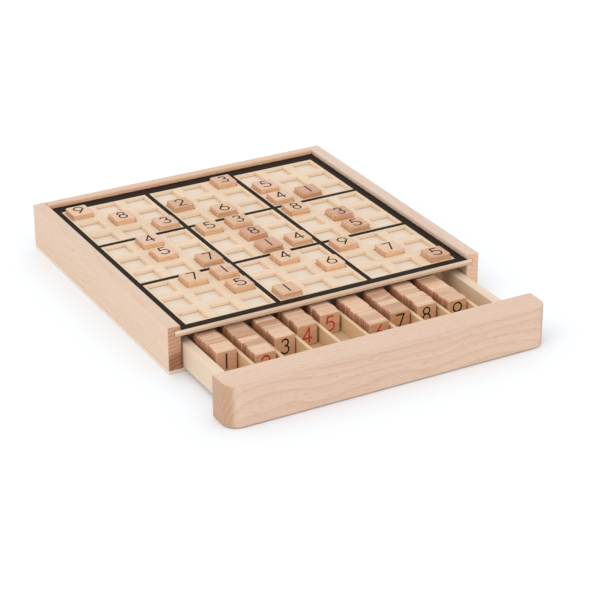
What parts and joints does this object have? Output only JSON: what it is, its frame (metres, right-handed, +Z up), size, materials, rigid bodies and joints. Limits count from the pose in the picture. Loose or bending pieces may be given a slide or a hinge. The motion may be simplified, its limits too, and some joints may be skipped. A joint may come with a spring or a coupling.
{
  "type": "sudoku board",
  "caption": "Wooden sudoku board with loose number tiles in a recessed grid and a slotted storage drawer that slides out of the front.",
  "frame": {"origin": "middle of the case's base panel, on its underside, where the board rests on a table", "axes": "+X to the player's right, +Y away from the player to the back wall, +Z up; the drawer pulls out along -Y"},
  "size_m": [0.228, 0.3008, 0.0327],
  "materials": {
    "beech": "sanded and thinly oiled, fine lengthwise grain with short flecks",
    "tile_beech": "tumbled beech with soft edges, warmer on the end grain",
    "basswood": "smooth pale sheet, bare",
    "birch_ply": "pale plywood, bare",
    "black_print": "satin black ink printed on the wood",
    "red_print": "satin red ink of some numbers, printed on the tiles"
  },
  "bodies": {
    "case": {"base_panel": "birch_ply", "left_wall": "beech", "right_wall": "beech", "back_wall": "beech", "board_backing": "birch_ply", "board_grid": "basswood", "printed_lines": "black_print"},
    "drawer": {"drawer_front": "beech", "drawer_left_side": "basswood", "drawer_right_side": "basswood", "drawer_back": "basswood", "drawer_floor": "birch_ply", "divider_1": "basswood", "divider_2": "basswood", "divider_3": "basswood", "divider_4": "basswood", "divider_5": "basswood", "divider_6": "basswood", "divider_7": "basswood", "divider_8": "basswood", "divider_9": "basswood", "stack_1": "tile_beech", "stack_2": "tile_beech", "stack_3": "tile_beech", "stack_4": "tile_beech", "stack_5": "tile_beech", "stack_6": "tile_beech", "stack_7": "tile_beech", "stack_8": "tile_beech", "stack_9": "tile_beech"},
    "tile_r1_c1": {"tile_r1_c1": "tile_beech"},
    "tile_r1_c6": {"tile_r1_c6": "tile_beech"},
    "tile_r2_c2": {"tile_r2_c2": "tile_beech"},
    "tile_r2_c4": {"tile_r2_c4": "tile_beech"},
    "tile_r2_c7": {"tile_r2_c7": "tile_beech"},
    "tile_r3_c3": {"tile_r3_c3": "tile_beech"},
    "tile_r3_c5": {"tile_r3_c5": "tile_beech"},
    "tile_r3_c7": {"tile_r3_c7": "tile_beech"},
    "tile_r3_c8": {"tile_r3_c8": "tile_beech"},
    "tile_r4_c2": {"tile_r4_c2": "tile_beech"},
    "tile_r4_c4": {"tile_r4_c4": "tile_beech"},
    "tile_r4_c5": {"tile_r4_c5": "tile_beech"},
    "tile_r4_c7": {"tile_r4_c7": "tile_beech"},
    "tile_r5_c2": {"tile_r5_c2": "tile_beech"},
    "tile_r5_c5": {"tile_r5_c5": "tile_beech"},
    "tile_r5_c8": {"tile_r5_c8": "tile_beech"},
    "tile_r6_c3": {"tile_r6_c3": "tile_beech"},
    "tile_r6_c5": {"tile_r6_c5": "tile_beech"},
    "tile_r6_c6": {"tile_r6_c6": "tile_beech"},
    "tile_r6_c8": {"tile_r6_c8": "tile_beech"},
    "tile_r7_c2": {"tile_r7_c2": "tile_beech"},
    "tile_r7_c3": {"tile_r7_c3": "tile_beech"},
    "tile_r7_c5": {"tile_r7_c5": "tile_beech"},
    "tile_r7_c7": {"tile_r7_c7": "tile_beech"},
    "tile_r8_c3": {"tile_r8_c3": "tile_beech"},
    "tile_r8_c6": {"tile_r8_c6": "tile_beech"},
    "tile_r8_c8": {"tile_r8_c8": "tile_beech"},
    "tile_r9_c4": {"tile_r9_c4": "tile_beech"},
    "tile_r9_c9": {"tile_r9_c9": "tile_beech"}
  },
  "joints": [
    {"name": "drawer_slide", "type": "slide", "parent": "case", "child": "drawer", "axis": [0, -1, 0], "range_m": [-0.06, 0.015]},
    {"name": "tile_r1_c1_lift", "type": "slide", "parent": "case", "child": "tile_r1_c1", "axis": [0, 0, 1], "range_m": [0, 0.02]},
    {"name": "tile_r1_c6_lift", "type": "slide", "parent": "case", "child": "tile_r1_c6", "axis": [0, 0, 1], "range_m": [0, 0.02]},
    {"name": "tile_r2_c2_lift", "type": "slide", "parent": "case", "child": "tile_r2_c2", "axis": [0, 0, 1], "range_m": [0, 0.02]},
    {"name": "tile_r2_c4_lift", "type": "slide", "parent": "case", "child": "tile_r2_c4", "axis": [0, 0, 1], "range_m": [0, 0.02]},
    {"name": "tile_r2_c7_lift", "type": "slide", "parent": "case", "child": "tile_r2_c7", "axis": [0, 0, 1], "range_m": [0, 0.02]},
    {"name": "tile_r3_c3_lift", "type": "slide", "parent": "case", "child": "tile_r3_c3", "axis": [0, 0, 1], "range_m": [0, 0.02]},
    {"name": "tile_r3_c5_lift", "type": "slide", "parent": "case", "child": "tile_r3_c5", "axis": [0, 0, 1], "range_m": [0, 0.02]},
    {"name": "tile_r3_c7_lift", "type": "slide", "parent": "case", "child": "tile_r3_c7", "axis": [0, 0, 1], "range_m": [0, 0.02]},
    {"name": "tile_r3_c8_lift", "type": "slide", "parent": "case", "child": "tile_r3_c8", "axis": [0, 0, 1], "range_m": [0, 0.02]},
    {"name": "tile_r4_c2_lift", "type": "slide", "parent": "case", "child": "tile_r4_c2", "axis": [0, 0, 1], "range_m": [0, 0.02]},
    {"name": "tile_r4_c4_lift", "type": "slide", "parent": "case", "child": "tile_r4_c4", "axis": [0, 0, 1], "range_m": [0, 0.02]},
    {"name": "tile_r4_c5_lift", "type": "slide", "parent": "case", "child": "tile_r4_c5", "axis": [0, 0, 1], "range_m": [0, 0.02]},
    {"name": "tile_r4_c7_lift", "type": "slide", "parent": "case", "child": "tile_r4_c7", "axis": [0, 0, 1], "range_m": [0, 0.02]},
    {"name": "tile_r5_c2_lift", "type": "slide", "parent": "case", "child": "tile_r5_c2", "axis": [0, 0, 1], "range_m": [0, 0.02]},
    {"name": "tile_r5_c5_lift", "type": "slide", "parent": "case", "child": "tile_r5_c5", "axis": [0, 0, 1], "range_m": [0, 0.02]},
    {"name": "tile_r5_c8_lift", "type": "slide", "parent": "case", "child": "tile_r5_c8", "axis": [0, 0, 1], "range_m": [0, 0.02]},
    {"name": "tile_r6_c3_lift", "type": "slide", "parent": "case", "child": "tile_r6_c3", "axis": [0, 0, 1], "range_m": [0, 0.02]},
    {"name": "tile_r6_c5_lift", "type": "slide", "parent": "case", "child": "tile_r6_c5", "axis": [0, 0, 1], "range_m": [0, 0.02]},
    {"name": "tile_r6_c6_lift", "type": "slide", "parent": "case", "child": "tile_r6_c6", "axis": [0, 0, 1], "range_m": [0, 0.02]},
    {"name": "tile_r6_c8_lift", "type": "slide", "parent": "case", "child": "tile_r6_c8", "axis": [0, 0, 1], "range_m": [0, 0.02]},
    {"name": "tile_r7_c2_lift", "type": "slide", "parent": "case", "child": "tile_r7_c2", "axis": [0, 0, 1], "range_m": [0, 0.02]},
    {"name": "tile_r7_c3_lift", "type": "slide", "parent": "case", "child": "tile_r7_c3", "axis": [0, 0, 1], "range_m": [0, 0.02]},
    {"name": "tile_r7_c5_lift", "type": "slide", "parent": "case", "child": "tile_r7_c5", "axis": [0, 0, 1], "range_m": [0, 0.02]},
    {"name": "tile_r7_c7_lift", "type": "slide", "parent": "case", "child": "tile_r7_c7", "axis": [0, 0, 1], "range_m": [0, 0.02]},
    {"name": "tile_r8_c3_lift", "type": "slide", "parent": "case", "child": "tile_r8_c3", "axis": [0, 0, 1], "range_m": [0, 0.02]},
    {"name": "tile_r8_c6_lift", "type": "slide", "parent": "case", "child": "tile_r8_c6", "axis": [0, 0, 1], "range_m": [0, 0.02]},
    {"name": "tile_r8_c8_lift", "type": "slide", "parent": "case", "child": "tile_r8_c8", "axis": [0, 0, 1], "range_m": [0, 0.02]},
    {"name": "tile_r9_c4_lift", "type": "slide", "parent": "case", "child": "tile_r9_c4", "axis": [0, 0, 1], "range_m": [0, 0.02]},
    {"name": "tile_r9_c9_lift", "type": "slide", "parent": "case", "child": "tile_r9_c9", "axis": [0, 0, 1], "range_m": [0, 0.02]}
  ]
}
